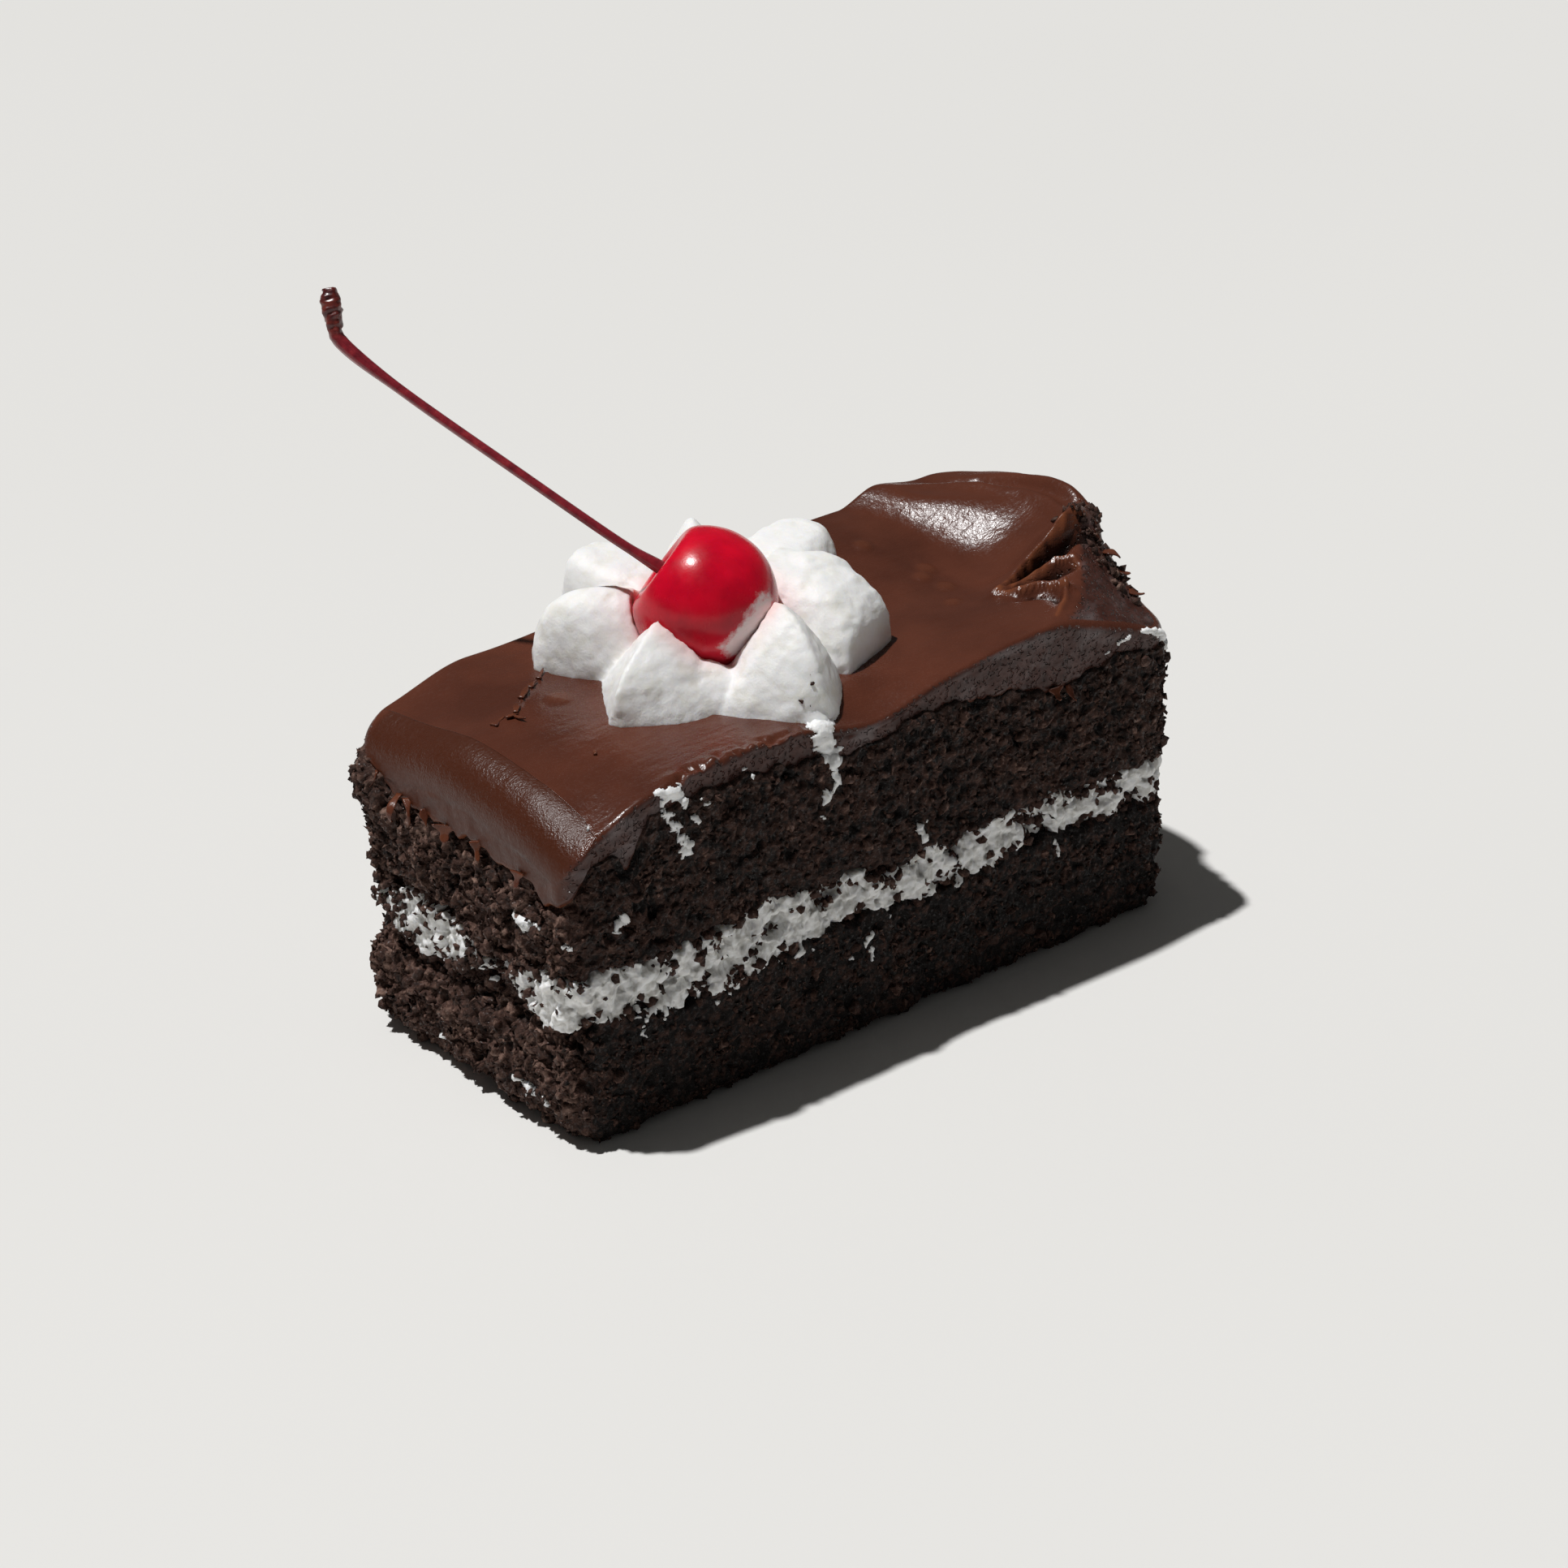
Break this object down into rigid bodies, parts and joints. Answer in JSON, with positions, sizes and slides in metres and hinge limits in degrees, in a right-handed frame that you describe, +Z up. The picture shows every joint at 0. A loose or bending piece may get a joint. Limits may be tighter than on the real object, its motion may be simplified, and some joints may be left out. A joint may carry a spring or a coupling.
{
  "type": "chocolate cake slice",
  "caption": "Bar-shaped slice of layered chocolate sponge with cream filling, swirled chocolate frosting, a piped cream rosette and a stemmed cherry.",
  "frame": {"origin": "centre of the slice's flat underside, where it rests", "axes": "+Z up; +X along the slice, from its frosted outer end to its swirled end; +Y from the front cut face to the back cut face"},
  "size_m": [0.109, 0.069, 0.0961],
  "materials": {
    "sponge": "dark chocolate crumb, open and porous, matt",
    "cream": "rough whipped-cream filling, matt, crumbs in it",
    "frosting": "spread chocolate frosting, satin on top, dull where cut",
    "whipped_cream": "piped whipped cream, soft and matt, fine grain",
    "cherry": "syrup-glossy preserved cherry, translucent",
    "stem": "dyed cherry stalk, finely ribbed, satin"
  },
  "bodies": {
    "root": {"sponge_lower": "sponge", "sponge_upper": "sponge", "cream_filling": "cream", "chocolate_frosting": "frosting", "cream_rosette": "whipped_cream", "cherry": "cherry", "cherry_stem": "stem"}
  },
  "joints": []
}
